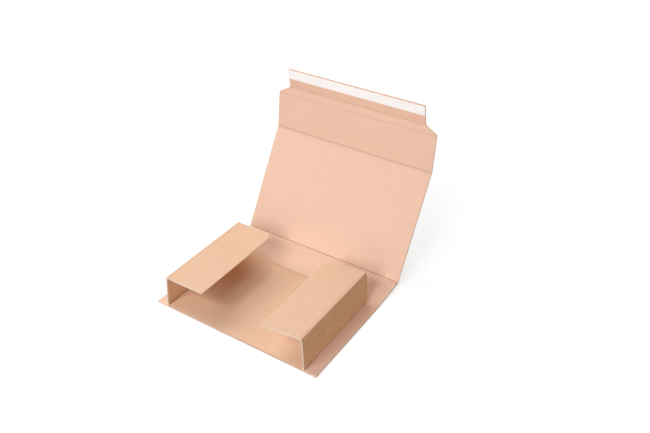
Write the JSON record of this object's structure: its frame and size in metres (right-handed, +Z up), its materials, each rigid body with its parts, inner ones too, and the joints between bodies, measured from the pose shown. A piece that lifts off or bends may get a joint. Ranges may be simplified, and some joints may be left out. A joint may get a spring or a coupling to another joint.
{
  "type": "book wrap mailer",
  "caption": "Opened wrap-around mailer of fluted board for a flat item, with side walls, top flaps, a hinged cover, a closure flap and a self-seal tab.",
  "frame": {"origin": "middle of the underside of the base panel", "axes": "+Z up, +Y towards the spine and the cover, +X to the right of someone who looks in from the open front"},
  "size_m": [0.353, 0.4063, 0.3284],
  "materials": {
    "outer_board": "matt kraft liner over flutes that run side to side",
    "inner_board": "matt kraft liner over flutes that run front to back",
    "adhesive": "tacky pressure-sensitive film",
    "liner_film": "smooth white release paper"
  },
  "bodies": {
    "base": {"outer_base": "outer_board", "inner_floor": "inner_board"},
    "spine": {"spine": "outer_board"},
    "cover": {"cover": "outer_board"},
    "closure_flap": {"closure_flap": "outer_board"},
    "under_flap": {"under_flap": "outer_board"},
    "seal_tab": {"seal_tab": "outer_board", "adhesive_strip": "adhesive", "release_liner": "liner_film"},
    "left_wall": {"left_wall": "inner_board"},
    "left_top_flap": {"left_top_flap": "inner_board"},
    "right_wall": {"right_wall": "inner_board"},
    "right_top_flap": {"right_top_flap": "inner_board"}
  },
  "joints": [
    {"name": "spine_fold", "type": "hinge", "parent": "base", "child": "spine", "pos_m": [0, 0.10625, 0.0015], "axis": [1, 0, 0], "range_deg": [-5.6, 84.4]},
    {"name": "cover_fold", "type": "hinge", "parent": "spine", "child": "cover", "pos_m": [0, 0.17771, 0.00851], "axis": [1, 0, 0], "range_deg": [-54, 36]},
    {"name": "closure_fold", "type": "hinge", "parent": "cover", "child": "closure_flap", "pos_m": [0, 0.28833, 0.19705], "axis": [1, 0, 0], "range_deg": [-23.9, 66.1]},
    {"name": "under_fold", "type": "hinge", "parent": "closure_flap", "child": "under_flap", "pos_m": [0, 0.29687, 0.27207], "axis": [1, 0, 0], "range_deg": [0, 90]},
    {"name": "tab_fold", "type": "hinge", "parent": "under_flap", "child": "seal_tab", "pos_m": [0, 0.2985, 0.28637], "axis": [-1, 0, 0], "range_deg": [-73.8, 16.2]},
    {"name": "left_wall_fold", "type": "hinge", "parent": "base", "child": "left_wall", "pos_m": [-0.1505, 0, 0.0045], "axis": [0, 1, 0], "range_deg": [-92.6, 0]},
    {"name": "left_top_fold", "type": "hinge", "parent": "left_wall", "child": "left_top_flap", "pos_m": [-0.14527, 0, 0.06949], "axis": [0, 1, 0], "range_deg": [-84.4, 30]},
    {"name": "right_wall_fold", "type": "hinge", "parent": "base", "child": "right_wall", "pos_m": [0.1505, 0, 0.0045], "axis": [0, -1, 0], "range_deg": [-88, 0]},
    {"name": "right_top_fold", "type": "hinge", "parent": "right_wall", "child": "right_top_flap", "pos_m": [0.14604, 0, 0.06936], "axis": [0, -1, 0], "range_deg": [-86, 28]}
  ]
}
